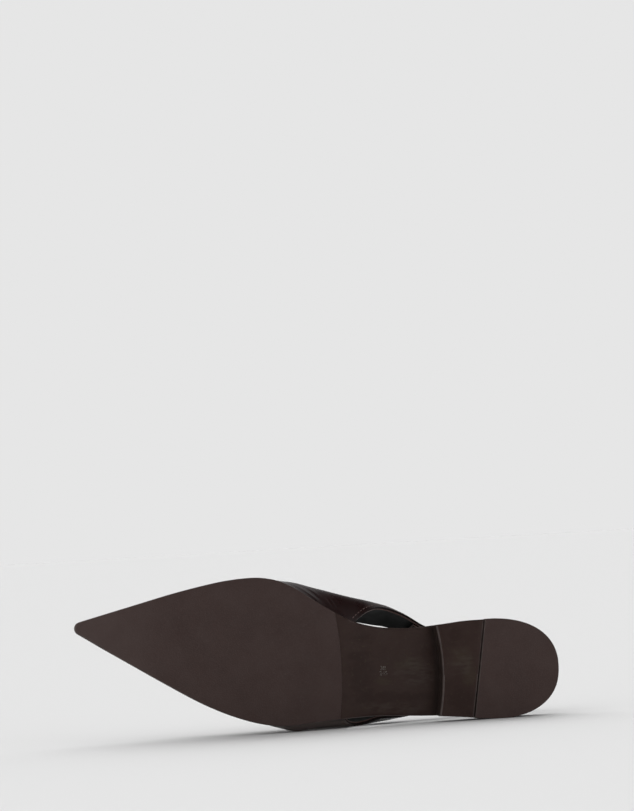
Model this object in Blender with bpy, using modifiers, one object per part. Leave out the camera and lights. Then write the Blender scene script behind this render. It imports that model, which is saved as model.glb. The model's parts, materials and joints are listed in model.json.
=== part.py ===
"""Flat slingback shoe with a pointed toe, a right shoe, lying on its outer side.

Every piece is built standing: x runs from the back of the heel to the toe, y towards the inner
(big toe) side, z up from the floor, all in millimetres. One empty, lying_down, then lays the shoe
on its outer side, with its sole facing -Y, and every piece is parented to it.
"""

from math import ceil, cos, pi, radians, sin, sqrt, tan

import bmesh
import bpy
from mathutils import Matrix, Vector

MM = 0.001
GAP = 0.3
INNER, OUTER = 1, -1

# Driving sizes
LENGTH = 272.9
HEEL_HALF = {INNER: 28.3, OUTER: 27.95}
HEEL_HEIGHT = 11.2
TOE_SPRING = 10.0
SOLE = 3.6
TREAD = 1.6
TOP_PIECE = 4.0
INSOLE = 2.2
WALL = 1.8
STRAP_WIDTH = 10.0
STRAP_THICK = 1.8

# The sole's plan: a round heel seat, a table of edges from there on, and a small round toe
HEEL_ROUND = 38.0
HEEL_POWER = {INNER: 2.33, OUTER: 2.26}
HEEL_FLARE = 0.5
TOE_RADIUS = 3.7
TOE_CENTRE_Y = 23.85
TOE_ANGLE = {INNER: radians(17.0), OUTER: radians(31.0)}
TOE_STRAIGHT = 258.0
TOE_CROWD = 246.0
SOLE_EDGE = (  # x, inner edge y, outer edge y
    (38.0, 28.3, -27.95),
    (46.0, 27.75, -27.7),
    (55.0, 27.05, -27.0),
    (66.0, 25.4, -26.4),
    (80.0, 23.4, -26.1),
    (96.0, 23.3, -26.0),
    (107.0, 24.6, -26.1),
    (118.0, 27.5, -27.0),
    (132.0, 34.4, -28.4),
    (148.0, 44.0, -30.3),
    (155.0, 47.7, -31.0),
    (162.0, 50.2, -30.8),
    (170.0, 51.4, -29.6),
    (178.0, 51.3, -27.7),
    (190.0, 49.8, -23.7),
    (204.0, 46.8, -17.6),
    (220.0, 42.6, -9.0),
    (240.0, 36.6, 2.4),
)

# The sole's side view: the arch falls from the heel to a flat tread, and the toe springs up
ARCH_BACK = 60.0
TREAD_BACK = 172.0
TREAD_FRONT = 186.0
SPRING_POWER = 1.8

# The bottom's cross lines: the tread's rear edge and the heel breast are bowed, the strip is slanted
TREAD_LINE = 122.7
TREAD_BOW = 0.003
TREAD_BOW_Y = -6.0
BREAST = 66.4
BREAST_BOW = 0.0043
STRIP = 46.0
STRIP_SLANT = -0.115
BOW_REACH = 25.0

# The last above the sole's edge: the ridge over the foot, then the widest line of each side. Bulge
# is how far that line stands out past the sole's edge, z its height, and full the roundness of the
# wall above it, 2 being an ellipse.
LAST = (  # x, ridge y, ridge z, inner bulge, z, full, outer bulge, z, full
    (62.0, 4.5, 56.0, -4.0, 41.5, 1.3, -3.9, 39.5, 1.3),
    (70.0, 5.2, 56.5, 0.1, 39.0, 1.3, -1.9, 36.5, 1.3),
    (78.0, 6.0, 57.5, 5.7, 36.5, 1.3, -0.1, 34.6, 1.3),
    (84.0, 6.7, 58.5, 9.2, 34.5, 1.3, 1.2, 33.7, 1.3),
    (92.0, 7.5, 60.0, 12.55, 31.0, 1.3, 2.8, 32.0, 1.3),
    (99.0, 8.2, 61.7, 14.0, 27.3, 1.3, 3.75, 29.2, 1.35),
    (107.0, 9.0, 63.5, 14.65, 24.0, 1.3, 4.85, 25.2, 1.4),
    (118.0, 10.0, 61.5, 14.0, 21.0, 1.4, 4.95, 21.5, 1.5),
    (130.0, 11.0, 58.0, 11.2, 20.0, 1.5, 4.3, 17.2, 1.6),
    (140.0, 11.9, 54.8, 7.8, 19.0, 1.6, 3.75, 13.6, 1.7),
    (149.0, 12.7, 52.0, 4.6, 18.0, 1.7, 3.5, 12.0, 1.75),
    (157.0, 13.3, 49.8, 1.5, 16.5, 1.8, 1.4, 12.2, 1.8),
    (170.0, 14.0, 46.8, -0.7, 13.5, 1.9, -0.8, 13.5, 1.9),
    (187.0, 15.3, 43.3, -0.9, 11.5, 2.0, -0.9, 11.5, 2.0),
    (210.0, 17.8, 37.6, -0.9, 10.0, 2.1, -0.9, 10.0, 2.1),
    (235.0, 20.6, 31.2, -0.9, 10.5, 2.1, -0.9, 10.5, 2.1),
    (258.0, 22.9, 25.2, -0.8, 13.0, 2.1, -0.8, 13.0, 2.1),
    (272.0, 23.9, 21.0, -0.8, 15.5, 2.1, -0.8, 15.5, 2.1),
)
FOOT_INSET = 0.7
FOOT_GAP = 0.5
FOOT_RISE = 0.6
WIDEST = 0.3
TUCK = (  # x, inner and outer: how full the wall is below its widest line, drawn in by the side cut
    (80.0, 1.0, 1.0),
    (87.0, 0.95, 0.7),
    (94.0, 0.9, 0.4),
    (101.0, 0.95, 0.5),
    (107.0, 1.0, 0.8),
    (113.0, 1.0, 1.0),
)
TOE_LEAN = 3.0
TOE_LIFT = 0.3
TOE_LEAN_BACK = 236.0

# The insole inside the upper
INSOLE_INSET = 3.2
INSOLE_NARROWS = (104.0, 113.0)
TOE_ROOM = 1.5

# The upper's cut edges as heights above the floor: the topline, and the side cut below each wing
THROAT = 186.0
WING_END = 64.0
TOPLINE = (  # x, inner z, outer z
    (64.0, 48.8, 48.4),
    (78.0, 47.3, 45.2),
    (92.0, 46.3, 43.2),
    (110.0, 45.0, 41.4),
    (130.0, 43.4, 40.4),
    (150.0, 42.0, 40.2),
    (165.0, 41.8, 41.0),
    (178.0, 42.9, 42.6),
    (186.0, 43.5, 43.5),
)
INNER_CUT = (  # x, z: the last row is where the cut reaches the sole
    (64.0, 39.0),
    (78.0, 33.6),
    (86.0, 29.8),
    (93.0, 26.6),
    (99.0, 22.5),
    (104.0, 18.2),
    (109.0, 14.4),
    (115.7, 9.4),
)
OUTER_CUT = (
    (64.0, 39.0),
    (76.0, 33.2),
    (84.0, 28.8),
    (92.0, 25.2),
    (99.0, 23.0),
    (106.0, 22.3),
    (112.5, 20.4),
    (116.5, 16.6),
    (122.0, 8.3),
)

# The sling strap, from inside the inner wing round the back of the heel to inside the outer wing
STRAP_OVERLAP = 13.0
WING_SAG = 1.6
STRAP = (  # x, y, z of its middle line, and how far its top leans in, in degrees
    (47.0, 16.2, 49.0, 24.0),
    (31.0, 15.2, 53.8, 15.0),
    (17.0, 13.2, 57.6, 11.0),
    (7.8, 7.6, 60.0, 10.0),
    (5.0, -0.6, 60.8, 10.0),
    (7.8, -8.8, 60.0, 10.0),
    (17.0, -14.6, 57.6, 11.0),
    (31.0, -17.2, 53.8, 15.0),
    (47.0, -18.0, 49.0, 24.0),
)

# How the shoe lies: on its outer side with the sole facing up a little, then pitched down to the
# heel, so that the side of the heel and the bulge of the ball are both on the floor
LEAN = 91.57
PITCH = 3.22


def spline(table, x, column):
    """The smooth curve through one column of a table whose first column is x, held past its ends."""
    rows = [row[0] for row in table]
    x = min(max(x, rows[0]), rows[-1])
    i = min(max(sum(x >= start for start in rows) - 1, 0), len(rows) - 2)

    def slope(k):
        low, high = max(k - 1, 0), min(k + 1, len(rows) - 1)
        return (table[high][column] - table[low][column]) / (rows[high] - rows[low])

    span = rows[i + 1] - rows[i]
    t = (x - rows[i]) / span
    ahead = t * t * (3 - 2 * t)
    leaving = t * (1 - t) ** 2 * span * slope(i)
    arriving = t * t * (t - 1) * span * slope(i + 1)
    return table[i][column] * (1 - ahead) + table[i + 1][column] * ahead + leaving + arriving


def ramp(x, start, end):
    """0 before start, 1 after end, and straight between them."""
    return min(max((x - start) / (end - start), 0.0), 1.0)


# ---------------------------------------------------------------- the sole's outline and profile


def toe_centre_x():
    return LENGTH - TOE_RADIUS


def edge(x, side, inset=0.0):
    """y of the sole's edge on one side at x, moved in by inset all round."""
    if x < HEEL_ROUND:
        back = (HEEL_ROUND - x) / (HEEL_ROUND - inset)
        power = HEEL_POWER[side]
        return side * (HEEL_HALF[side] - inset) * max(1 - back**power, 0.0) ** (1 / power)
    radius = TOE_RADIUS - inset
    angle = TOE_ANGLE[side]
    tangent_x = toe_centre_x() + radius * sin(angle)
    tangent_y = TOE_CENTRE_Y + side * radius * cos(angle)
    if x > tangent_x:
        return TOE_CENTRE_Y + side * sqrt(max(radius**2 - (x - toe_centre_x()) ** 2, 0.0))
    if x > TOE_STRAIGHT:
        return tangent_y + side * (tangent_x - x) * tan(angle)
    start = TOE_CENTRE_Y + side * TOE_RADIUS * cos(angle)
    start += side * (toe_centre_x() + TOE_RADIUS * sin(angle) - TOE_STRAIGHT) * tan(angle)
    table = [(row[0], row[1] if side == INNER else row[2]) for row in SOLE_EDGE]
    table.append((TOE_STRAIGHT, start))
    step = 0.5
    slope = (spline(table, x + step, 1) - spline(table, x - step, 1)) / (2 * step)
    return spline(table, x, 1) - side * inset * sqrt(1 + slope**2)


def bottom(x):
    """Height of the sole's underside above the floor, without the heel."""
    arch = HEEL_HEIGHT * (1 + cos(pi * ramp(x, ARCH_BACK, TREAD_BACK))) / 2
    return arch + TOE_SPRING * ramp(x, TREAD_FRONT, LENGTH) ** SPRING_POWER


def seat(x):
    """Height of the sole's top, where the upper and the insole sit."""
    return bottom(x) + SOLE


def tread_line(x, y):
    """A station line moved onto the bowed rear edge of the tread, near that edge only."""
    near = 1 - min(abs(x - TREAD_LINE) / BOW_REACH, 1.0)
    return x + near * TREAD_BOW * (y - TREAD_BOW_Y) ** 2


def heel_line(x, y):
    """A station line of the heel: slanted up to the strip's rear edge, then bowed like the breast."""
    slanted = STRIP + STRIP_SLANT * y
    if x <= STRIP:
        return x * slanted / STRIP
    bowed = BREAST + BREAST_BOW * y * y
    share = (x - STRIP) / (BREAST - STRIP)
    return slanted * (1 - share) + bowed * share


# ---------------------------------------------------------------- the last above the sole


def section(x, side, t):
    """Point on the upper's outside: t runs 0 to 1 from the sole's edge to the ridge over the foot.

    The wall curves out to its widest line at t = WIDEST, and from there round to the ridge.
    """
    ridge_y, ridge_z = spline(LAST, x, 1), spline(LAST, x, 2)
    first = 3 if side == INNER else 6
    bulge, wide_z, fullness = (spline(LAST, x, first + k) for k in range(3))
    toe = ramp(x, TOE_LEAN_BACK, LENGTH) ** 2
    foot_y, foot_z = edge(x, side, FOOT_INSET), seat(x) + FOOT_GAP + TOE_LIFT * toe
    wide_y = edge(x, side) + side * bulge if bulge > -FOOT_INSET else edge(x, side, -bulge)
    if side * (wide_y - ridge_y) < 0:
        wide_y = foot_y = ridge_y
    if t < WIDEST:
        s = t / WIDEST
        handle_y = foot_y + spline(TUCK, x, 1 if side == INNER else 2) * (wide_y - foot_y)
        y = foot_y * (1 - s) ** 2 + 2 * handle_y * s * (1 - s) + wide_y * s * s
        handle_z = foot_z + FOOT_RISE * (wide_z - foot_z)
        z = foot_z * (1 - s) ** 2 + 2 * handle_z * s * (1 - s) + wide_z * s * s
    else:
        turn = (t - WIDEST) / (1 - WIDEST) * pi / 2
        y = ridge_y + (wide_y - ridge_y) * max(cos(turn), 0.0) ** (2 / fullness)
        z = wide_z + (ridge_z - wide_z) * sin(turn) ** (2 / fullness)
    return Vector((x - TOE_LEAN * toe * (z - foot_z) / (ridge_z - foot_z), y, z))


def at_height(x, side, z):
    """The t at which a section reaches height z."""
    low, high = 0.0, 1.0
    for _ in range(30):
        middle = (low + high) / 2
        low, high = (middle, high) if section(x, side, middle).z < z else (low, middle)
    return (low + high) / 2


def cut_range(x, side):
    """The two ends of t that the upper keeps at x: above the side cut and below the topline."""
    cut = INNER_CUT if side == INNER else OUTER_CUT
    start = 0.0 if x >= cut[-1][0] else at_height(x, side, spline(cut, x, 1))
    end = 1.0 if x >= THROAT else at_height(x, side, spline(TOPLINE, x, 1 if side == INNER else 2))
    return start, end


# ---------------------------------------------------------------- meshes


def add_object(name, mesh, material, parent, collection):
    mesh.materials.append(material)
    mesh.shade_smooth()
    mesh.set_sharp_from_angle(angle=radians(40))
    obj = bpy.data.objects.new(name, mesh)
    obj.parent = parent
    collection.objects.link(obj)
    return obj


def finish_mesh(name, bm):
    """The bmesh in metres, with doubled points joined and every face turned outwards."""
    bmesh.ops.remove_doubles(bm, verts=bm.verts, dist=0.001)
    bmesh.ops.dissolve_degenerate(bm, edges=bm.edges, dist=0.0005)
    bmesh.ops.recalc_face_normals(bm, faces=bm.faces)
    bmesh.ops.scale(bm, vec=(MM, MM, MM), verts=bm.verts)
    mesh = bpy.data.meshes.new(name)
    bm.to_mesh(mesh)
    bm.free()
    return mesh


def skin(bm, grid):
    """Quads between the rows of a grid of points."""
    rows = [[bm.verts.new(point) for point in row] for row in grid]
    for a, b in zip(rows, rows[1:]):
        for i in range(len(a) - 1):
            bm.faces.new((a[i], a[i + 1], b[i + 1], b[i]))
    return rows


def across_sole(x, share, inset):
    """y at a share of the way from the sole's middle (0) to its inner (1) or outer (-1) edge."""
    middle = (edge(x, INNER, inset) + edge(x, OUTER, inset)) / 2
    side = INNER if share >= 0 else OUTER
    return middle + abs(share) * (edge(x, side, inset) - middle)


def slab_mesh(name, stations, line, insets, heights, across=8):
    """A layer of the sole, lofted through stations between an underside and an upper side.

    Each station is a pair: its x and a step added to the layer's underside there. The insets and
    the heights are pairs of functions of x, for the underside and the upper side.
    """
    bm = bmesh.new()
    shares = [-1 + 2 * k / across for k in range(across + 1)]
    surfaces = []
    for face, (inset, height) in enumerate(zip(insets, heights)):
        rows = []
        for x, step in stations:
            row = []
            for share in shares:
                real_x = line(x, across_sole(x, share, inset(x)))
                y = across_sole(real_x, share, inset(real_x))
                row.append((real_x, y, height(real_x) + (step if face == 0 else 0.0)))
            rows.append(row)
        surfaces.append(rows)
    under, over = surfaces
    skin(bm, under)
    skin(bm, over)
    skin(bm, [[row[0] for row in under], [row[0] for row in over]])
    skin(bm, [[row[-1] for row in under], [row[-1] for row in over]])
    skin(bm, [under[0], over[0]])
    skin(bm, [under[-1], over[-1]])
    return finish_mesh(name, bm)


def spread(start, end, step):
    """Even stations from start to end, about step apart."""
    count = max(ceil((end - start) / step), 1)
    return [start + (end - start) * k / count for k in range(count + 1)]


def heel_stations(start, end, count=11):
    """Stations that crowd towards the round back of the heel."""
    return [start + (end - start) * (1 - cos(pi / 2 * k / count)) for k in range(count + 1)]


def toe_stations(start, end, count=9):
    """Stations that crowd towards the toe."""
    return [start + (end - start) * sin(pi / 2 * k / count) for k in range(count + 1)]


def forepart_stations(start):
    """Stations from the arch to the toe, with one at each end of the flat tread."""
    arch = spread(start, TREAD_BACK, 6.5)
    spring = spread(TREAD_FRONT, TOE_CROWD, 7.5)
    return arch + spring + toe_stations(TOE_CROWD, LENGTH)[1:]


def level(stations, step=0.0):
    return [(x, step) for x in stations]


def square(x, y):
    """A station line straight across."""
    return x


def flush(x):
    return 0.0


def flared(z):
    """The inset of the heel's side at height z: it stands out most at the floor."""
    return HEEL_FLARE * min(z / HEEL_HEIGHT, 1.0)


# ---------------------------------------------------------------- the pieces


def sole_inset(x):
    """The sole's edge stands in over the flared heel, and not in front of it."""
    return HEEL_FLARE * (1 - ramp(x, BREAST - 8.0, BREAST + 10.0))


def make_outsole():
    """The long sole, rebated under the forepart for the rubber tread."""
    rear = heel_stations(HEEL_FLARE, HEEL_ROUND) + spread(HEEL_ROUND, TREAD_LINE, 8.0)[1:]
    stations = level(rear) + level(forepart_stations(TREAD_LINE), TREAD + GAP)
    return slab_mesh("outsole", stations, tread_line, (sole_inset, sole_inset), (bottom, seat))


def make_tread_pad():
    """The rubber half sole."""
    stations = forepart_stations(TREAD_LINE + GAP)
    heights = (bottom, lambda x: bottom(x) + TREAD)
    return slab_mesh("tread_pad", level(stations), tread_line, (flush, flush), heights)


def make_heel_block():
    """The low heel: its front strip reaches the floor, and its rear is rebated for the top piece."""
    rebate = TOP_PIECE + GAP
    stations = level(heel_stations(HEEL_FLARE, STRIP), rebate) + level(spread(STRIP, BREAST, 7.0))
    insets = (lambda x: flared(rebate) * (1 - ramp(x, STRIP, BREAST)), lambda x: HEEL_FLARE)
    return slab_mesh("heel_block", stations, heel_line, insets, (flush, lambda x: bottom(x) - GAP))


def make_top_piece():
    """The rubber piece that the heel stands on."""
    stations = level(heel_stations(flared(TOP_PIECE), STRIP - GAP))
    insets = (flush, lambda x: flared(TOP_PIECE))
    return slab_mesh("top_piece", stations, heel_line, insets, (flush, lambda x: TOP_PIECE))


def insole_inset(x):
    """The insole reaches the sole's edge where the shoe is open, and lies inside the upper in front."""
    return sole_inset(x) + INSOLE_INSET * ramp(x, *INSOLE_NARROWS)


def make_insole():
    end = LENGTH - INSOLE_INSET - TOE_ROOM
    stations = heel_stations(HEEL_FLARE, HEEL_ROUND) + spread(HEEL_ROUND, TOE_CROWD, 8.0)[1:]
    stations += toe_stations(TOE_CROWD, end)[1:]
    heights = (lambda x: seat(x) + GAP, lambda x: seat(x) + GAP + INSOLE)
    return slab_mesh("insole", level(stations), square, (insole_inset, insole_inset), heights)


def upper_stations():
    """Stations of the upper, close together along the side cuts, at the throat and at the toe."""
    wings = spread(WING_END, INNER_CUT[-1][0], 3.7) + [OUTER_CUT[-1][0]]
    sides = spread(OUTER_CUT[-1][0], THROAT - 14.0, 6.5)[1:]
    throat = [THROAT - back for back in (10.0, 6.5, 3.5, 1.4, 0.4, 0.0)]
    vamp = spread(THROAT, TOE_CROWD, 7.0)[1:]
    return wings + sides + throat + vamp + toe_stations(TOE_CROWD, LENGTH - FOOT_INSET)[1:]


def make_upper():
    """The vamp and its two wings: one open surface, thickened inwards."""
    rows = 13
    bm = bmesh.new()
    for side in (INNER, OUTER):
        grid = []
        for x in upper_stations():
            start, end = cut_range(x, side)
            grid.append([section(x, side, start + (end - start) * k / rows) for k in range(rows + 1)])
        skin(bm, grid)
    return finish_mesh("upper", bm)


def thicken(obj, thickness, offset):
    """Gives an open surface its thickness: offset -1 is inwards, and 0 is both ways."""
    shell = obj.modifiers.new("wall", "SOLIDIFY")
    shell.thickness = thickness * MM
    shell.offset = offset
    shell.use_even_offset = True
    shell.use_quality_normals = True


def wing_middle(x, side, depth):
    """A point half way up a wing and this deep under its outside, with the wing's lean."""
    start, end = cut_range(x, side)
    step = 0.02
    middle = (start + end) / 2
    up = (section(x, side, middle + step) - section(x, side, middle - step)).normalized()
    along = (section(x + 1, side, middle) - section(x - 1, side, middle)).normalized()
    inwards = along.cross(up).normalized() * side
    return section(x, side, middle) + inwards * depth, Vector((0, 0, 1)).angle(up)


def strap_route():
    """Centre points of the strap with its lean, from the inner wing round the heel to the outer one."""
    depth = WALL + GAP + WING_SAG + STRAP_THICK / 2
    places = (WING_END + STRAP_OVERLAP, WING_END + STRAP_OVERLAP / 2, WING_END)
    front = [wing_middle(x, INNER, depth) for x in places]
    back = [(Vector(row[:3]), radians(row[3])) for row in STRAP]
    rear = [wing_middle(x, OUTER, depth) for x in reversed(places)]
    return front + back + rear


def make_strap():
    """The strap's middle surface: a strip along its route, leaning in like the wings."""
    knots = strap_route()
    lengths = [0.0]
    for (a, _), (b, _) in zip(knots, knots[1:]):
        lengths.append(lengths[-1] + (b - a).length)
    table = [(s, *point, lean) for s, (point, lean) in zip(lengths, knots)]

    def place(s):
        return Vector([spline(table, s, column) for column in (1, 2, 3)])

    bm = bmesh.new()
    strip = []
    for s in spread(0.0, lengths[-1], 3.5):
        along = (place(s + 0.5) - place(s - 0.5)).normalized()
        inwards = Vector((-along.y, along.x, 0.0)).normalized()
        lean = spline(table, s, 4)
        up = Vector((0, 0, cos(lean))) + inwards * sin(lean)
        up = (up - along * up.dot(along)).normalized()
        strip.append([place(s) + up * STRAP_WIDTH * share for share in (-0.5, 0.0, 0.5)])
    skin(bm, strip)
    return finish_mesh("sling_strap", bm)


# ---------------------------------------------------------------- the shoe


def make_material(name, colour, roughness, coat=0.0):
    material = bpy.data.materials.new(name)
    material.use_nodes = True
    shader = material.node_tree.nodes["Principled BSDF"]
    shader.inputs["Base Color"].default_value = (*colour, 1.0)
    shader.inputs["Roughness"].default_value = roughness
    shader.inputs["Metallic"].default_value = 0.0
    shader.inputs["Coat Weight"].default_value = coat
    material.diffuse_color = (*colour, 1.0)
    return material


def lay_down(name, collection):
    """The empty that turns the standing shoe onto its outer side and sets it on the floor."""
    empty = bpy.data.objects.new(name, None)
    collection.objects.link(empty)
    turn_round = Matrix.Rotation(pi, 4, "Z")
    lean_over = Matrix.Rotation(radians(-LEAN), 4, "X")
    pitch_down = Matrix.Rotation(radians(PITCH), 4, "Y")
    empty.matrix_world = pitch_down @ lean_over @ turn_round
    return empty


def settle(empty, parts):
    """Moves the shoe so that the middle of its base is at the origin and it rests on z = 0."""
    bpy.context.view_layer.update()
    graph = bpy.context.evaluated_depsgraph_get()
    corners = []
    for part in parts:
        evaluated = part.evaluated_get(graph)
        corners += [evaluated.matrix_world @ vertex.co for vertex in evaluated.data.vertices]
    low = Vector([min(corner[k] for corner in corners) for k in range(3)])
    high = Vector([max(corner[k] for corner in corners) for k in range(3)])
    middle = (low + high) / 2
    empty.matrix_world = Matrix.Translation((-middle.x, -middle.y, -low.z)) @ empty.matrix_world


def build():
    for obj in list(bpy.data.objects):
        bpy.data.objects.remove(obj, do_unlink=True)
    collection = bpy.data.collections.new("slingback_shoe")
    bpy.context.scene.collection.children.link(collection)
    sole_rubber = make_material("sole_rubber", (0.052, 0.034, 0.031), 0.62)
    tread_rubber = make_material("tread_rubber", (0.060, 0.040, 0.037), 0.78)
    upper_leather = make_material("upper_leather", (0.020, 0.006, 0.006), 0.22, 0.6)
    insole_leather = make_material("insole_leather", (0.016, 0.013, 0.012), 0.55)
    empty = lay_down("lying_down", collection)
    pieces = (
        ("outsole", make_outsole(), sole_rubber),
        ("tread_pad", make_tread_pad(), tread_rubber),
        ("heel_block", make_heel_block(), sole_rubber),
        ("top_piece", make_top_piece(), tread_rubber),
        ("insole", make_insole(), insole_leather),
        ("upper", make_upper(), upper_leather),
        ("sling_strap", make_strap(), upper_leather),
    )
    parts = [add_object(name, mesh, material, empty, collection) for name, mesh, material in pieces]
    thicken(bpy.data.objects["upper"], WALL, -1.0)
    thicken(bpy.data.objects["sling_strap"], STRAP_THICK, 0.0)
    settle(empty, parts)


build()
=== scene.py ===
"""The looks of the slingback shoe: a right shoe, lying on its outer side.

Every piece is built standing, in the shoe's own millimetres: x runs from the back of the heel to
the toe, y towards the inner (big toe) side and z up from the floor. The record's two mounts, on
the underside of the heel and of the tread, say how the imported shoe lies, and each finished mesh is
carried over into that frame.
"""

import json
from math import atan2, ceil, cos, exp, hypot, pi, radians, sin, sqrt, tan

import bmesh
import bpy
import numpy as np
from mathutils import Euler, Matrix, Vector, noise


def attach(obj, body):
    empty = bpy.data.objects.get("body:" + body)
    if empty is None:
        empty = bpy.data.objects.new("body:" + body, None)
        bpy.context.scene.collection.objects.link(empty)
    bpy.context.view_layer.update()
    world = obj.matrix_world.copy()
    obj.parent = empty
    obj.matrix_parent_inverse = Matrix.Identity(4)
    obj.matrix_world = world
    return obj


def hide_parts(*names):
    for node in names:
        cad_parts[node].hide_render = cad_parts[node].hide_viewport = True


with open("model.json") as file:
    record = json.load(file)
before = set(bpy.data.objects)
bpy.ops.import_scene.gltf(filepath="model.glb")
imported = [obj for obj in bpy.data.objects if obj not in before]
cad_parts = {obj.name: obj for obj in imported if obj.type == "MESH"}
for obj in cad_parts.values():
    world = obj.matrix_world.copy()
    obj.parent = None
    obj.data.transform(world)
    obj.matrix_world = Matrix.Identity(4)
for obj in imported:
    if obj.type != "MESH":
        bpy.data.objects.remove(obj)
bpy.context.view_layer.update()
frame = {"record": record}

MM = 0.001
INNER, OUTER = 1, -1
COLUMN = {INNER: 1, OUTER: 2}

# ---- sizes of the shoe, in millimetres

LENGTH = 272.9
HEEL_HALF = {INNER: 28.3, OUTER: 27.95}
HEEL_HEIGHT = 11.2
TOE_SPRING = 10.0
SOLE = 3.6
TREAD = 1.6
TOP_PIECE = 4.0
INSOLE = 2.2
GAP = 0.3
TOUCH = 0.02
WALL = 1.8
LEATHER = 1.1
LEATHER_ROUND = 0.35
LINING = 0.65
LINING_ROUND = 0.15
SEAM = 0.12

# The mounts' places in the shoe's own millimetres
MOUNTS = {"heel_tread": (25.0, 0.0, 0.0), "forepart_tread": (179.0, 10.0, 0.0)}

# The sole's plan: a round heel seat, a table of edges from there on, and a small round toe
HEEL_ROUND = 38.0
HEEL_POWER = {INNER: 2.33, OUTER: 2.26}
TOE_RADIUS = 3.7
TOE_CENTRE_X = LENGTH - TOE_RADIUS
TOE_CENTRE_Y = 23.85
TOE_ANGLE = {INNER: radians(17.0), OUTER: radians(31.0)}
TOE_STRAIGHT = 258.0
TOE_CROWD = 246.0
SOLE_EDGE = (  # x, inner edge y, outer edge y
    (38.0, 28.3, -27.95), (46.0, 27.75, -27.7), (55.0, 27.05, -27.0),
    (66.0, 25.4, -26.4), (80.0, 23.4, -26.1), (96.0, 23.3, -26.0),
    (107.0, 24.6, -26.1), (118.0, 27.5, -27.0), (132.0, 34.4, -28.4),
    (148.0, 44.0, -30.3), (155.0, 47.7, -31.0), (162.0, 50.2, -30.8),
    (170.0, 51.4, -29.6), (178.0, 51.3, -27.7), (190.0, 49.8, -23.7),
    (204.0, 46.8, -17.6), (220.0, 42.6, -9.0), (240.0, 36.6, 2.4),
)

# The sole's side view: the arch falls from the heel to a flat tread, and the toe springs up
ARCH_BACK = 60.0
TREAD_BACK = 172.0
TREAD_FRONT = 186.0
SPRING_POWER = 1.8

# The bottom's cross lines: the tread's rear edge and the heel's front (its breast) are bowed, and
# the heel's plain strip ends at a slanted groove. TREAD_LINE is 1 mm ahead of the solids' own, and
# BREAST_TURN moves the breast ahead and turns it, by less than 2 mm.
TREAD_LINE = 123.7
TREAD_BOW = 0.003
TREAD_BOW_Y = -6.0
BOW_REACH = 25.0
BREAST = 66.4
BREAST_BOW = 0.0043
BREAST_TURN = (0.7, 0.038)
STRIP = 46.0
STRIP_SLANT = -0.115

# The heel's sides flare towards the floor, and the waist's underside is rounded at its edges
HEEL_FLARE = 0.5
FLARE_FADES = (BREAST - 8.0, BREAST + 10.0)
WAIST_CAMBER = 0.5
CAMBER_POWER = 8
WAIST_STARTS = (BREAST, BREAST + 8.0)
WAIST_ENDS = (TREAD_LINE - 14.0, TREAD_LINE)

# Roundings of the sole's edges, and the bevels along its cross lines
SOLE_ROUND = 0.7
SEAT_ROUND = 0.4
TREAD_ROUND = 0.75
TREAD_FEATHER = 0.1
HIDDEN_ROUND = 0.1
GROOVE_BEVEL = 1.0
BREAST_BEVEL = 1.0
TOP_PIECE_BEVEL = 0.55
INSOLE_ROUND = (0.5, 0.9)
INSOLE_LIFT = 0.05

# A face of these edges takes the pale edge finish, part rubbed wear and part painted reflection of the
# floor and painted highlight, where its normal's z lies in this range and its y below this
RUBBED_SHEEN_Z = (-0.95, -0.35)
RUBBED_SHEEN_Y = 0.25

# The last above the sole's edge: the ridge over the foot, then the widest line of each side
LAST = (  # x, ridge y, ridge z, inner bulge, z, full, outer bulge, z, full
    (62.0, 4.5, 56.0, -4.0, 41.5, 1.3, -3.9, 39.5, 1.3),
    (70.0, 5.2, 56.5, 0.1, 39.0, 1.3, -1.9, 36.5, 1.3),
    (78.0, 6.0, 57.5, 5.7, 36.5, 1.3, -0.1, 34.6, 1.3),
    (84.0, 6.7, 58.5, 9.2, 34.5, 1.3, 1.2, 33.7, 1.3),
    (92.0, 7.5, 60.0, 12.55, 31.0, 1.3, 2.8, 32.0, 1.3),
    (99.0, 8.2, 61.7, 14.0, 27.3, 1.3, 3.75, 29.2, 1.35),
    (107.0, 9.0, 63.5, 14.65, 24.0, 1.3, 4.85, 25.2, 1.4),
    (118.0, 10.0, 61.5, 14.0, 21.0, 1.4, 4.95, 21.5, 1.5),
    (130.0, 11.0, 58.0, 11.2, 20.0, 1.5, 4.3, 17.2, 1.6),
    (140.0, 11.9, 54.8, 7.8, 19.0, 1.6, 3.75, 13.6, 1.7),
    (149.0, 12.7, 52.0, 4.6, 18.0, 1.7, 3.5, 12.0, 1.75),
    (157.0, 13.3, 49.8, 1.5, 16.5, 1.8, 1.4, 12.2, 1.8),
    (170.0, 14.0, 46.8, -0.7, 13.5, 1.9, -0.8, 13.5, 1.9),
    (187.0, 15.3, 43.3, -0.9, 11.5, 2.0, -0.9, 11.5, 2.0),
    (210.0, 17.8, 37.6, -0.9, 10.0, 2.1, -0.9, 10.0, 2.1),
    (235.0, 20.6, 31.2, -0.9, 10.5, 2.1, -0.9, 10.5, 2.1),
    (258.0, 22.9, 25.2, -0.8, 13.0, 2.1, -0.8, 13.0, 2.1),
    (272.0, 23.9, 21.0, -0.8, 15.5, 2.1, -0.8, 15.5, 2.1),
)
FOOT_INSET = 0.7
FOOT_SINK = 0.02
FOOT_RISE = 0.6
FOOT_HIDDEN = 1.5
WIDEST = 0.3
TUCK = (  # x, inner and outer: how full the wall is below its widest line, drawn in by the side cut
    (80.0, 1.0, 1.0), (87.0, 0.95, 0.7), (94.0, 0.9, 0.4),
    (101.0, 0.95, 0.5), (107.0, 1.0, 0.8), (113.0, 1.0, 1.0),
)
TOE_LEAN = 3.0
TOE_LEAN_BACK = 236.0

# The insole inside the upper
INSOLE_INSET = 3.2
INSOLE_NARROWS = (104.0, 113.0)
TOE_ROOM = 1.5

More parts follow.
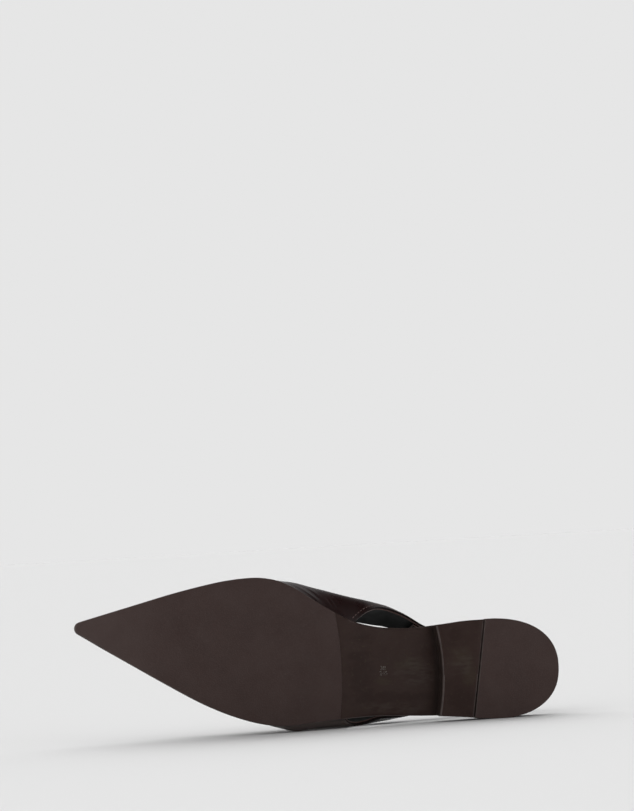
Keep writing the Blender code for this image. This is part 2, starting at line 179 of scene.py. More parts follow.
# The upper's cut edges as heights above the floor: the topline, and the side cut below each wing
THROAT = 186.0
THROAT_CROWD = 24.0
WING_END = 64.0
TOPLINE = (  # x, inner z, outer z
    (64.0, 48.8, 48.4), (78.0, 47.3, 45.2), (92.0, 46.3, 43.2),
    (110.0, 45.0, 41.4), (130.0, 43.4, 40.4), (150.0, 42.0, 40.2),
    (165.0, 41.8, 41.0), (178.0, 42.9, 42.6), (186.0, 43.5, 43.5),
)
INNER_CUT = (  # x, z: the last row is where the cut reaches the sole
    (64.0, 39.0), (78.0, 33.6), (86.0, 29.8), (93.0, 26.6),
    (99.0, 22.5), (104.0, 18.2), (109.0, 14.4), (115.7, 9.4),
)
OUTER_CUT = (
    (64.0, 39.0), (76.0, 33.2), (84.0, 28.8),
    (92.0, 25.2), (99.0, 23.0), (106.0, 22.3),
    (112.5, 20.4), (116.5, 16.6), (122.0, 8.3),
)
CUTS = {INNER: INNER_CUT, OUTER: OUTER_CUT}

# The sling strap, from inside the inner wing round the back of the heel to inside the outer wing
STRAP_WIDTH = 10.0
STRAP_THICK = 1.8
STRAP_LEATHER = 1.05
STRAP_LINING = 0.65
STRAP_SEAM = 0.1
STRAP_ROUND = 0.2
STRAP_CROWN = 0.25
STRAP_OVERLAP = 13.0
WING_SAG = 1.6
STRAP = (  # x, y, z of its middle line, and how far its top leans in, in degrees
    (47.0, 16.2, 49.0, 24.0), (31.0, 15.2, 53.8, 15.0), (17.0, 13.2, 57.6, 11.0),
    (7.8, 7.6, 60.0, 10.0), (5.0, -0.6, 60.8, 10.0), (7.8, -8.8, 60.0, 10.0),
    (17.0, -14.6, 57.6, 11.0), (31.0, -17.2, 53.8, 15.0), (47.0, -18.0, 49.0, 24.0),
)

# Creases of the leather below the ball: soft ridges (height above 0) and troughs (below 0), each
# from one place to another, and how fast they fade at their ends; then a slight unevenness
INNER_CREASES = (  # x, z, end x, end z, half width, height
    (153.0, 11.4, 135.0, 8.0, 0.7, 0.18), (147.0, 13.4, 131.0, 9.0, 0.8, -0.08),
    (143.0, 15.0, 135.0, 11.4, 0.8, 0.1), (131.0, 13.2, 126.4, 9.4, 0.5, -0.22),
    (129.4, 13.4, 125.2, 9.8, 0.45, 0.18), (128.0, 13.6, 123.8, 10.0, 0.5, -0.18),
    (160.0, 20.0, 138.0, 24.0, 2.2, 0.16), (164.0, 26.0, 146.0, 31.0, 2.6, -0.2),
)
OUTER_CREASES = (
    (156.0, 13.0, 140.0, 9.4, 0.9, 0.18), (150.0, 15.0, 134.0, 12.0, 1.0, -0.18),
    (160.0, 24.0, 142.0, 28.0, 2.4, -0.2),
)
CREASES = {INNER: INNER_CREASES, OUTER: OUTER_CREASES}
CREASE_ENDS = 0.032
CREASE_POWER = 0.6
UNEVEN = 0.1
UNEVEN_SIZE = 22.0

# Stitching: how far it lies in from an edge of the upper and of the strap, the length of a stitch
# and of the gap after it, the thread's radius, and how far it stops from the sole and the throat
STITCH_IN = 2.2
STRAP_STITCH_IN = 1.9
STITCH_LONG = 1.6
STITCH_GAP = 0.9
THREAD = 0.24
STITCH_PATH_ENDS = (0.2, 0.4)
STITCH_OFF_SOLE = 0.8
STITCH_OFF_THROAT = 3.0

# The size stamp on the waist: digits, and x and y of their middle
STAMP = (("38", 99.7, 0.7), ("245", 99.4, -2.2))
STAMP_SIZE = 3.3
INK = 0.02

# How finely the pieces are built: the steps between stations and how many crowd at the heel and the
# toe, then for each sheet of the upper its step, the rows up its wall and how many crowd at the toe
SOLE_STEP = 1.6
SOLE_CROWDS = (26, 22)
HEEL_CROWD = 30
TOP_PIECE_CROWD = 36
BEVEL_STEPS = 3
INSOLE_STEP = 2.0
INSOLE_CROWDS = (24, 16)
STRAP_STEP = 0.8
STRAP_ROWS = 16
LEATHER_MESH = (0.9, 56, 22)
LINING_MESH = (1.6, 30, 14)

# Patches on the smooth part of the sole: x, y of the middle, then how far they reach each way; the pale
# ones are painted highlights. Then the painted shade in front of the heel, which fades ahead of its
# breast
OLIVE_SPOTS = (
    (84.0, 2.6, 10.0, 4.2), (99.5, -6.6, 5.5, 2.6),
    (57.0, 7.0, 7.0, 6.0), (52.0, -3.0, 5.0, 7.0),
)
DARK_SPOTS = (
    (96.0, -15.2, 30.0, 3.4), (114.0, 7.5, 8.0, 3.0),
    (112.0, 18.0, 9.0, 4.0), (56.0, -17.0, 12.0, 7.0),
    (60.0, 19.0, 5.0, 6.0), (112.0, -4.0, 8.0, 18.0),
)
# painted highlights: pale patches on the smooth rubber, the one along the outer edge a painted reflection
# of the floor
PALE_SHEEN_SPOTS = (
    (94.0, -21.6, 24.0, 3.6), (80.0, -3.0, 14.0, 10.0), (56.0, 3.0, 7.0, 9.0),
)
BREAST_SHADE = (0.3, 4.4)

# The painted reflection of the floor low on the upper's outer side, and the painted highlight at the
# tread's toe: where each fades
FLOOR_SHEEN_SIDE = (-29.5, -27.0)
FLOOR_SHEEN_TOP = (17.0, 25.0)
TOE_HIGHLIGHT = (215.0, 262.0)

# The plain finishes, in the order that build takes them: colour, roughness and specular; then the
# mottling's colour, strength, grain, detail and range; the roughness's grain and range; the bump
PLAIN = {
    # rounded edges of the rubber: rubbed pale, and paler still by a painted reflection of the floor and a
    # painted highlight along bevels such as the heel's breast
    "sole_rubber_rubbed_edge_and_sheen": (
        ((0.068, 0.0485, 0.0435), 0.5, 0.4),
        ((0.042, 0.03, 0.0265), 0.9, 5.0, 4.0, 0.35, 0.65),
        (2.0, -0.06, 0.08), None,
    ),
    "lining_leather": (
        ((0.0042, 0.0048, 0.0044), 0.55, 0.1),
        ((0.0066, 0.0074, 0.0068), 0.5, 7.0, 3.0, 0.4, 0.7),
        (5.0, -0.06, 0.06), ("pebbles", 0.55, 0.025),
    ),
    "lining_cut_edge": (
        ((0.105, 0.058, 0.049), 0.55, 0.4),
        ((0.062, 0.031, 0.027), 0.6, 1.4, 3.0, 0.4, 0.7),
        None, ("noise", 0.7, 0.04),
    ),
    "leather_edge_paint": (
        ((0.015, 0.0085, 0.0078), 0.65, 0.2),
        ((0.01, 0.0055, 0.005), 0.6, 1.6, 3.0, 0.4, 0.7),
        None, ("noise", 0.8, 0.03),
    ),
    "insole_leather_black": (
        ((0.012, 0.011, 0.01), 0.5, 0.45),
        ((0.021, 0.018, 0.016), 0.6, 11.0, 4.0, 0.4, 0.7),
        (7.0, -0.06, 0.08), ("pebbles", 0.6, 0.03),
    ),
    "thread_dusty_brown": (
        ((0.15, 0.104, 0.094), 0.6, 0.4),
        ((0.09, 0.058, 0.052), 0.5, 1.1, 3.0, 0.4, 0.7),
        None, ("noise", 0.4, 0.04),
    ),
    "stamp_pale_grey": (
        ((0.15, 0.135, 0.122), 0.6, 0.3),
        ((0.04, 0.027, 0.022), 1.0, 0.9, 3.0, 0.4, 0.58),
        None, None,
    ),
}

# The camera stands off the sole, a little towards the toe; its turns are about x, y and z
CAMERA_AT = (435.2, 8.9, -1671.2)
CAMERA_TURNS = (radians(4.678), radians(169.905), radians(-0.415))
LENS = 134.86
SENSOR = 36.0
CLIP_END = 200.0


# ---- curves and outlines


def spline(table, x, column):
    """The smooth curve through one column of a table by x, its first one, held past its ends."""
    rows = [row[0] for row in table]
    x = min(max(x, rows[0]), rows[-1])
    i = min(sum(x >= start for start in rows), len(rows) - 1) - 1

    def slope(k):
        low, high = max(k - 1, 0), min(k + 1, len(rows) - 1)
        return (table[high][column] - table[low][column]) / (rows[high] - rows[low])

    span = rows[i + 1] - rows[i]
    t = (x - rows[i]) / span
    ahead = t * t * (3 - 2 * t)
    leaving = t * (1 - t) ** 2 * span * slope(i)
    arriving = t * t * (t - 1) * span * slope(i + 1)
    return table[i][column] * (1 - ahead) + table[i + 1][column] * ahead + leaving + arriving


def ramp(x, start, end):
    """0 before start, 1 after end, and straight between them."""
    return min(max((x - start) / (end - start), 0.0), 1.0)


def bend(start, handle, end, s):
    """A curve from start (s is 0) to end (s is 1) that is drawn towards its handle."""
    return start * (1 - s) ** 2 + 2 * handle * s * (1 - s) + end * s * s


def distances(points):
    """The distance along a path at each of its points."""
    out = [0.0]
    for a, b in zip(points, points[1:]):
        out.append(out[-1] + (b - a).length)
    return out


def toe_straight(x, side, inset=0.0):
    """y at x of the straight run that leads to the toe's arc."""
    radius, angle = TOE_RADIUS - inset, TOE_ANGLE[side]
    reach = TOE_CENTRE_X + radius * sin(angle) - x
    return TOE_CENTRE_Y + side * (radius * cos(angle) + reach * tan(angle))


EDGE_TABLE = (*SOLE_EDGE, (TOE_STRAIGHT, *(toe_straight(TOE_STRAIGHT, side) for side in COLUMN)))


def edge(x, side, inset=0.0):
    """y of the sole's edge on one side at x, moved in by inset all round."""
    if x < HEEL_ROUND:
        back = (HEEL_ROUND - x) / (HEEL_ROUND - inset)
        power = HEEL_POWER[side]
        return side * (HEEL_HALF[side] - inset) * max(1 - back**power, 0.0) ** (1 / power)
    radius = TOE_RADIUS - inset
    if x > TOE_CENTRE_X + radius * sin(TOE_ANGLE[side]):
        return TOE_CENTRE_Y + side * sqrt(max(radius**2 - (x - TOE_CENTRE_X) ** 2, 0.0))
    if x > TOE_STRAIGHT:
        return toe_straight(x, side, inset)
    before, here, after = (spline(EDGE_TABLE, x + nudge, COLUMN[side]) for nudge in (-0.5, 0.0, 0.5))
    return here - side * inset * hypot(1.0, after - before)


def bottom(x):
    """Height of the sole's underside above the floor, without the heel."""
    arch = HEEL_HEIGHT * (1 + cos(pi * ramp(x, ARCH_BACK, TREAD_BACK))) / 2
    return arch + TOE_SPRING * ramp(x, TREAD_FRONT, LENGTH) ** SPRING_POWER


def seat(x):
    """Height of the sole's top, where the upper and the insole sit."""
    return bottom(x) + SOLE


def tread_line(x, y):
    """A station line, bent near the tread's rear edge to follow its bow."""
    near = 1 - min(abs(x - TREAD_LINE) / BOW_REACH, 1.0)
    return x + near * TREAD_BOW * (y - TREAD_BOW_Y) ** 2


def breast_line(y):
    """x of the heel's front edge, which is bowed and turned a little from square."""
    return BREAST + BREAST_TURN[0] + BREAST_TURN[1] * y + BREAST_BOW * y * y


def heel_line(x, y):
    """A station line of the heel: slanted like the groove up to it, then bowed like the breast."""
    slanted = STRIP + STRIP_SLANT * y
    if x <= STRIP:
        return x * slanted / STRIP
    share = (x - STRIP) / (BREAST - STRIP)
    return slanted * (1 - share) + breast_line(y) * share


# ---- the last above the sole


def section(x, side, t):
    """A point of the upper's outside: t is 0 at the sole's edge and 1 at the ridge over the foot."""
    ridge_y, ridge_z = spline(LAST, x, 1), spline(LAST, x, 2)
    bulge, wide_z, fullness = (spline(LAST, x, 3 * COLUMN[side] + k) for k in range(3))
    toe = ramp(x, TOE_LEAN_BACK, LENGTH) ** 2
    foot_y, foot_z = edge(x, side, FOOT_INSET), seat(x) - FOOT_SINK
    wide_y = edge(x, side) + side * bulge if bulge > -FOOT_INSET else edge(x, side, -bulge)
    if side * (wide_y - ridge_y) < 0:
        wide_y = foot_y = ridge_y
    if t < WIDEST:
        s = t / WIDEST
        tuck = spline(TUCK, x, COLUMN[side])
        y = bend(foot_y, foot_y + tuck * (wide_y - foot_y), wide_y, s)
        z = bend(foot_z, foot_z + FOOT_RISE * (wide_z - foot_z), wide_z, s)
    else:
        turn = (t - WIDEST) / (1 - WIDEST) * pi / 2
        y = ridge_y + (wide_y - ridge_y) * max(cos(turn), 0.0) ** (2 / fullness)
        z = wide_z + (ridge_z - wide_z) * sin(turn) ** (2 / fullness)
    return Vector((x - TOE_LEAN * toe * (z - foot_z) / (ridge_z - foot_z), y, z))


class Girth:
    """One station's wall as a path up from the sole, read by the distance along it."""

    def __init__(self, x, side, steps=60):
        self.x, self.side = x, side
        self.ts = [k / steps for k in range(steps + 1)]
        points = [section(x, side, t) for t in self.ts]
        self.heights = [point.z for point in points]
        self.lengths = distances(points)

    def at(self, distance):
        return section(self.x, self.side, np.interp(distance, self.lengths, self.ts))

    def reach(self, z):
        """The distance along the wall at which it reaches height z."""
        return np.interp(z, self.heights, self.lengths)

    def kept(self):
        """The ends of the stretch that the upper keeps, from the side cut to the topline."""
        cut = CUTS[self.side]
        start = 0.0 if self.x >= cut[-1][0] else self.reach(spline(cut, self.x, 1))
        if self.x >= THROAT:
            return start, self.lengths[-1]
        return start, self.reach(spline(TOPLINE, self.x, COLUMN[self.side]))


GIRTHS = {}


def girth(x, side):
    key = (round(x, 3), side)
    if key not in GIRTHS:
        GIRTHS[key] = Girth(x, side)
    return GIRTHS[key]


def relief(side, point):
    """How far the leather stands out at a point of the upper's outside."""
    height = UNEVEN * noise.noise(point / UNEVEN_SIZE)
    for x0, z0, x1, z1, half_width, rise in CREASES[side]:
        run = Vector((x1 - x0, z1 - z0))
        offset = Vector((point.x - x0, point.z - z0))
        along = offset.dot(run) / run.length_squared
        away = (offset - run * ramp(along, 0, 1)).length / half_width
        if away < 3:
            taper = sin(pi * ramp(along, -CREASE_ENDS, 1 + CREASE_ENDS)) ** CREASE_POWER
            height += rise * taper * exp(-away * away)
    return height


# ---- stations


def spread(start, end, step):
    """Even stations from start to end, about step apart."""
    count = max(ceil((end - start) / step), 1)
    return [start + (end - start) * k / count for k in range(count + 1)]


def crowd(start, end, count):
    """Stations that crowd towards start."""
    return [start + (end - start) * (1 - cos(pi / 2 * k / count)) for k in range(count + 1)]


def toe_run(start, inset, step, toe_count):
    """Stations from start to the toe of an outline moved in by inset."""
    crowded = crowd(LENGTH - inset, TOE_CROWD, toe_count)
    return spread(start, TOE_CROWD, step) + crowded[-2::-1]


def heel_run(inset, end, step, heel_count):
    """Stations from the back of the heel of an outline moved in by inset, on to end."""
    return crowd(inset, HEEL_ROUND, heel_count) + spread(HEEL_ROUND, end, step)[1:]


# ---- mesh building


def shoe_to_row():
    """The matrix from the shoe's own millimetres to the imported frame, from the record's mounts."""
    mounts = {mount["name"]: mount for mount in frame["record"]["mounts"]}
    heel, tread = (Vector(mounts[name]["pos_m"]) for name in MOUNTS)
    own_heel, own_tread = (Vector(place) * MM for place in MOUNTS.values())
    up = -Vector(mounts["heel_tread"]["axis"]).normalized()
    side = up.cross(tread - heel).normalized()
    own_run = own_tread - own_heel
    x_axis = Matrix.Rotation(-atan2(own_run.y, own_run.x), 3, up) @ side.cross(up)
    turn = Matrix((x_axis, up.cross(x_axis), up)).transposed().to_4x4()
    place = Matrix.Translation(heel) @ turn @ Matrix.Translation(-own_heel)
    return place @ Matrix.Scale(MM, 4)


TO_ROW = shoe_to_row()


def skin(bm, grid, flip=False):
    """Quads between the rows of a grid of points."""
    rows = [[bm.verts.new(point) for point in row] for row in grid]
    for a, b in zip(rows, rows[1:]):
        for i in range(len(a) - 1):
            corners = (a[i], a[i + 1], b[i + 1], b[i])
            bm.faces.new(reversed(corners) if flip else corners)


def weld(bm):
    """Joins points that meet, and drops faces without area."""
    bmesh.ops.remove_doubles(bm, verts=bm.verts, dist=0.001)
    bmesh.ops.dissolve_degenerate(bm, edges=bm.edges, dist=0.0002)


def move_all(bm, moves):
    for vert, move in zip(bm.verts, moves):
        vert.co += move


def add_object(name, data):
    made = bpy.data.objects.new(name, data)
    bpy.context.scene.collection.objects.link(made)
    return made


def mark_rubbed_and_sheen(bm):
    """Gives the second material to the rounded edges that are pale from rubbing and from a painted
    reflection and highlight.
    """
    bm.normal_update()
    for face in bm.faces:
        if RUBBED_SHEEN_Z[0] < face.normal.z < RUBBED_SHEEN_Z[1] and face.normal.y < RUBBED_SHEEN_Y:
            face.material_index = 1


def add_piece(name, bm, materials, replaces=(), sharp=35, rubbed_and_sheen=False):
    """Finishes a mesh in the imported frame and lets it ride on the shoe."""
    bmesh.ops.recalc_face_normals(bm, faces=bm.faces)
    if rubbed_and_sheen:
        mark_rubbed_and_sheen(bm)
    bm.transform(TO_ROW)
    mesh = bpy.data.meshes.new(name)
    bm.to_mesh(mesh)
    bm.free()
    for material in materials:
        mesh.materials.append(material)
    mesh.shade_smooth()
    mesh.set_sharp_from_angle(angle=radians(sharp))
    piece = add_object(name, mesh)
    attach(piece, "root")
    if replaces:
        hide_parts(*replaces)


def across(x, share, inset):
    """y at a share of the way from the sole's middle (0) to its inner (1) or outer (-1) edge."""
    inner, outer = edge(x, INNER, inset), edge(x, OUTER, inset)
    return (inner + outer) / 2 + share * (inner - outer) / 2


def rounded(radius, base, taper=lambda x: 0.0, steps=4, top=False):
    """A rounded corner of a wall, as insets and heights: the lower one, or the one at the top."""
    corner = []
    for k in range(steps + 1):
        angle = pi / 2 * k / steps
        flat, upright = radius * (1 - sin(angle)), radius * (1 - cos(angle))
        back, rise = (upright, -flat) if top else (flat, upright)
        corner.append((
            lambda x, back=back: taper(x) + back,
            lambda x, step, rise=rise: base(x) + (0.0 if top else step) + rise,
        ))
    return corner


def slab(stations, line, wall, columns=28, camber=None):
    """A layer of the sole, lofted through stations.

    stations(rear, front) lists (x, step) for an outline moved in by rear at the heel and by front
    at the toe. The wall lists (inset, height), from the rim of the underside up: inset takes x, and
    height takes x and step. camber takes x and the share across, and lifts the underside.
    """
    bm = bmesh.new()
    shares = [-cos(pi * k / columns) for k in range(columns + 1)]

    def level(inset, height, lift):
        rows = []
        for x, step in stations(inset(0.0), inset(LENGTH)):
            row = []
            for share in shares:
                px = line(x, across(x, share, inset(x)))
                raised = lift(px, share) if lift else 0.0
                row.append((px, across(px, share, inset(px)), height(px, step) + raised))
            rows.append(row)
        return rows

    levels = [level(inset, height, None if k else camber) for k, (inset, height) in enumerate(wall)]
    for end in (0, -1):
        skin(bm, levels[end])
        skin(bm, [rows[end] for rows in levels])
        skin(bm, [[row[end] for row in rows] for rows in levels])
    weld(bm)
    return bm


def border_directions(rims):
    """For each point on an open border, the direction that leaves the sheet there."""
    out = {}
    for rim in rims:
        along = (rim.verts[1].co - rim.verts[0].co).normalized()
        away = (rim.verts[0].co + rim.verts[1].co) / 2 - rim.link_faces[0].calc_center_median()
        away = (away - along * away.dot(along)).normalized()
        for vert in rim.verts:
            out[vert] = out.get(vert, Vector()) + away
    return {vert: away.normalized() for vert, away in out.items()}


def at_foot(place):
    """Whether a point is so close to the sole that it isn't seen."""
    return place.z < seat(place.x) + FOOT_HIDDEN


def thicken(bm, depth, corner, hidden=lambda place: False, rim_material=1):
    """Turns an open surface into a sheet of leather with softly squared edges."""
    bm.normal_update()
    rims = [rim for rim in bm.edges if rim.is_boundary]
    out = border_directions(rims)
    verts, faces = list(bm.verts), list(bm.faces)
    normals = {vert: vert.normal.copy() for vert in verts}
    inner = {vert: bm.verts.new(vert.co - normals[vert] * depth) for vert in verts}
    for face in faces:
        bm.faces.new([inner[vert] for vert in reversed(face.verts)])
    eased = corner * (1 - sqrt(0.5))
    straight = [(0.0, down) for down in (corner, depth / 2, depth - corner)]
    profile = [(eased, eased), *straight, (eased, depth - eased)]
    chains = {}
    for vert, away in out.items():
        places = [vert.co - away * back - normals[vert] * down for back, down in profile]
        vert.co -= away * corner
        inner[vert].co -= away * corner
        chains[vert] = [vert, *map(bm.verts.new, places), inner[vert]]
    for rim in rims:
        a, b = (chains[vert] for vert in rim.verts)
        cut = 0 if all(hidden(vert.co) for vert in rim.verts) else rim_material
        for k in range(len(a) - 1):
            bm.faces.new((a[k], b[k], b[k + 1], a[k + 1])).material_index = cut


# ---- materials


class Nodes:
    """Short ways to make and join shader nodes."""

    def __init__(self, tree):
        self.tree = tree

    def feed(self, socket, given):
        """Joins a socket to another node's output, or sets it to a value."""
        if isinstance(given, bpy.types.NodeSocket):
            self.tree.links.new(given, socket)
        else:
            socket.default_value = given

    def put(self, node, **given):
        """Fills a node's sockets, named with a capital and _ for a space, and its settings."""
        for name, value in given.items():
            if name[0].isupper():
                self.feed(node.inputs[name.replace("_", " ")], value)
            else:
                setattr(node, name, value)

    def node(self, kind, **given):
        made = self.tree.nodes.new("ShaderNode" + kind)
        self.put(made, **given)
        return made

    def maths(self, operation, *given):
        made = self.node("Math", operation=operation)
        for socket, value in zip(made.inputs, given):
            self.feed(socket, value)
        return made.outputs[0]

    def between(self, source, low, high, to_low=0.0, to_high=1.0):
        """A soft step from to_low, where the source is low or less, to to_high."""
        made = self.node("MapRange", interpolation_type="SMOOTHSTEP", Value=source)
        self.put(made, From_Min=low, From_Max=high, To_Min=to_low, To_Max=to_high)
        return made.outputs["Result"]


class Finish(Nodes):
    """A procedural material in the shoe's own millimetres."""

    def __init__(self, name, colour, roughness, specular, coat=0.0, coat_roughness=0.1):
        self.material = bpy.data.materials.new(name)
        self.material.use_nodes = True
        self.material.diffuse_color = (*colour, 1.0)
        super().__init__(self.material.node_tree)
        self.shader = self.tree.nodes["Principled BSDF"]
        self.put(self.shader, Roughness=roughness, Specular_IOR_Level=specular)
        self.put(self.shader, Coat_Weight=coat, Coat_Roughness=coat_roughness)
        self.colour, self.roughness, self.height = (*colour, 1.0), roughness, None
        back = TO_ROW.inverted()
        turn = back.to_3x3().normalized().to_euler()
        row_place = self.node("TexCoord").outputs["Object"]
        self.place = self.mapped(row_place, back.to_translation(), [1 / MM] * 3, turn)

    def mapped(self, source, shift, scale, turn=(0.0, 0.0, 0.0)):
        """A place scaled, turned and shifted."""
        mapping = self.node("Mapping", Vector=source, Location=shift, Rotation=turn, Scale=scale)
        return mapping.outputs["Vector"]

    def axes(self):
        return self.node("SeparateXYZ", Vector=self.place).outputs

    def noise(self, grain, detail=3.0, stretch=(1.0, 1.0, 1.0), distortion=0.0):
        """Noise from 0 to 1 with grains of this size, longer by stretch on each axis."""
        place = self.mapped(self.place, (0.0, 0.0, 0.0), [1 / (grain * longer) for longer in stretch])
        made = self.node("TexNoise", Vector=place, Scale=1.0, Detail=detail, Distortion=distortion)
        return made.outputs["Fac"]

    def cells(self, grain):
        """Distance to the nearest of many scattered points, for pebbled leather."""
        made = self.node("TexVoronoi", feature="SMOOTH_F1", Vector=self.place, Scale=1 / grain)
        return made.outputs["Distance"]

    def spot(self, x, y, reach_x, reach_y):
        """A frayed patch on the sole: 1 in its middle and 0 outside."""
        shift, scale = (-x / reach_x, -y / reach_y, 0.0), (1 / reach_x, 1 / reach_y, 0.0)
        place = self.mapped(self.place, shift, scale)
        away = self.node("VectorMath", operation="LENGTH", Vector=place)
        uneven = self.maths("SUBTRACT", self.noise(4.5, 6.0, (1.5, 1.0, 1.0)), 0.5)
        frayed = self.maths("ADD", away.outputs["Value"], self.maths("MULTIPLY", uneven, 1.8))
        return self.between(frayed, 0.3, 1.2, 1.0, 0.0)

    def tint(self, mask, colour):
        """Mixes the colour towards another by a mask from 0 to 1."""
        # A Mix node has an A, a B and a Result of each kind: 6, 7 and 2 are those for colours
        made = self.node("Mix", data_type="RGBA", Factor=mask)
        self.feed(made.inputs[6], self.colour)
        self.feed(made.inputs[7], (*colour, 1.0))
        self.colour = made.outputs[2]

    def mottle(self, colour, strength, grain, detail, low, high, stretch=(1.0, 1.0, 1.0)):
        """Tints the surface where noise of this grain runs from low to high."""
        self.tint(self.between(self.noise(grain, detail, stretch), low, high, 0.0, strength), colour)

    def vary_roughness(self, source, less, more):
        """Lets the roughness run from a little less to a little more."""
        varied = self.between(source, 0.3, 0.7, self.roughness + less, self.roughness + more)
        self.put(self.shader, Roughness=varied)

    def emboss(self, source, depth):
        """Adds a height in millimetres to the bump."""
        raised = self.maths("MULTIPLY", source, depth * MM)
        self.height = raised if self.height is None else self.maths("ADD", self.height, raised)

    def done(self):
        self.put(self.shader, Base_Color=self.colour)
        if self.height is not None:
            bump = self.node("Bump", Strength=1.0, Distance=1.0, Height=self.height)
            self.put(self.shader, Normal=bump.outputs["Normal"])
        return self.material


def tread_finish():
    """Matte rubber, faintly mottled, and paler at the toe from a painted highlight."""
    made = Finish("tread_rubber_matte", (0.053, 0.033, 0.0295), 0.72, 0.25)
    made.mottle((0.044, 0.0265, 0.0235), 0.6, 17.0, 4.0, 0.35, 0.75)
    made.mottle((0.07, 0.047, 0.043), 0.3, 0.9, 2.0, 0.45, 0.75)
    # painted highlight: paler towards the toe, where the sprung tread turns to the light
    made.tint(made.between(made.axes()[0], *TOE_HIGHLIGHT, 0.0, 0.5), (0.08, 0.056, 0.052))
    made.vary_roughness(made.noise(11.0), -0.06, 0.06)
    made.emboss(made.noise(0.7, 2.0), 0.08)
    return made.done()


def sole_finish():
    """Smoother rubber, with olive, dark and pale patches, specks and streaks, and painted shade at the
    heel; the pale patches and streaks are painted highlights.
    """
    made = Finish("sole_rubber_smooth", (0.0342, 0.0188, 0.0154), 0.42, 0.15)
    along = (4.0, 1.0, 1.0)
    olive = (0.044, 0.033, 0.02)
    dark = (0.0245, 0.0118, 0.0094)
    pale = (0.06, 0.046, 0.039)
    made.mottle(dark, 0.55, 20.0, 3.0, 0.4, 0.65)
    # painted highlight streaks along the sole, which set how strongly the pale patches show
    streaks = made.between(made.noise(1.8, 5.0, (3.5, 1.0, 1.0)), 0.35, 0.65, 0.0, 0.36)
    for spots, strength, colour in (
        (OLIVE_SPOTS, 0.35, olive),
        (DARK_SPOTS, 0.8, dark),
        (PALE_SHEEN_SPOTS, streaks, pale),
    ):
        for spot in spots:
            made.tint(made.maths("MULTIPLY", made.spot(*spot), strength), colour)
    made.mottle(olive, 0.4, 1.8, 3.0, 0.58, 0.72)
    made.mottle(dark, 0.35, 1.3, 4.0, 0.56, 0.74, along)
    x, y, _ = made.axes()
    turned = made.maths("MULTIPLY_ADD", y, BREAST_TURN[1], BREAST + BREAST_TURN[0])
    bowed = made.maths("MULTIPLY_ADD", made.maths("MULTIPLY", y, y), BREAST_BOW, turned)
    ahead = made.maths("SUBTRACT", x, bowed)
    clear_of_heel = made.between(ahead, -0.3, 0.0)
    # painted shade: darker in the corner just ahead of the heel's breast, where the step shades the waist
    breast_shade = made.maths("MULTIPLY", made.between(ahead, *BREAST_SHADE, 0.85, 0.0), clear_of_heel)
    made.tint(breast_shade, (0.023, 0.0165, 0.014))
    made.vary_roughness(made.noise(15.0, 4.0, distortion=0.6), -0.08, 0.1)
    made.emboss(made.noise(2.4, 3.0, along), 0.05)
    return made.done()


def upper_finish():
    """Polished dark oxblood leather, rougher and without its coat low on its outer side, where a painted
    reflection of the floor tints it pale.
    """
    coat = 0.18
    made = Finish("upper_leather_polished", (0.013, 0.004, 0.0037), 0.28, 0.42, coat, 0.14)
    made.mottle((0.02, 0.0062, 0.0056), 0.5, 14.0, 4.0, 0.4, 0.75)
    made.mottle((0.0085, 0.003, 0.0028), 0.4, 1.7, 3.0, 0.5, 0.8)
    _, y, z = made.axes()
    # painted reflection of the floor: the low outer wall is tinted pale; the same mask makes it rougher
    outside = made.between(y, *FLOOR_SHEEN_SIDE, 1.0, 0.0)
    floor_sheen = made.maths("MULTIPLY", outside, made.between(z, *FLOOR_SHEEN_TOP, 0.9, 0.0))
    made.tint(floor_sheen, (0.13, 0.102, 0.094))
    dulled = made.maths("ADD", made.noise(8.0), made.maths("MULTIPLY", floor_sheen, 1.6))
    made.vary_roughness(dulled, -0.05, 0.07)
    made.put(made.shader, Coat_Weight=made.between(floor_sheen, 0.0, 0.6, coat, 0.0))
    made.emboss(made.cells(0.7), 0.02)
    made.emboss(made.noise(4.0, 3.0), 0.04)
    return made.done()


def plain_finish(name):
    """A finish from its rows in PLAIN."""
    base, mottling, varied, bump = PLAIN[name]
    made = Finish(name, *base)
    made.mottle(*mottling)
    if varied:
        made.vary_roughness(made.noise(varied[0]), *varied[1:])
    if bump:
        kind, grain, depth = bump
        made.emboss(made.cells(grain) if kind == "pebbles" else made.noise(grain), depth)
    return made.done()


# ---- the sole's pieces


def flared(z):
    """The inset of the heel's side at height z: it stands out most at the floor."""
    return HEEL_FLARE * min(z / HEEL_HEIGHT, 1.0)


def sole_inset(x):
    """The sole's edge stands in over the flared heel, and not in front of it."""
    return HEEL_FLARE * (1 - ramp(x, *FLARE_FADES))


def waist_camber(x, share):
    """The waist's underside is rounded off towards its two edges."""
    waist = ramp(x, *WAIST_STARTS) * (1 - ramp(x, *WAIST_ENDS))
    return WAIST_CAMBER * waist * abs(share) ** CAMBER_POWER


def bevel(start, size):
    """Stations of a bevel at a cross line, behind it where the size is negative."""
    shares = [k / BEVEL_STEPS for k in range(BEVEL_STEPS)]
    return [(start + size * share, abs(size) * (1 - share) ** 2) for share in shares]


def make_outsole(finishes):
    """The long sole, stepped up at the tread line to take the tread."""
    rebate = TREAD + TOUCH

    def stations(rear, front):
        behind = [(x, 0.0) for x in heel_run(rear, TREAD_LINE, SOLE_STEP, SOLE_CROWDS[0])]
        ahead = toe_run(TREAD_LINE, front, SOLE_STEP, SOLE_CROWDS[1])
        return behind + [(x, rebate) for x in ahead]

    wall = rounded(SOLE_ROUND, bottom, sole_inset) + rounded(SEAT_ROUND, seat, sole_inset, 3, top=True)
    bm = slab(stations, tread_line, wall, camber=waist_camber)
    add_piece("outsole_finished", bm, finishes, ["outsole"], rubbed_and_sheen=True)


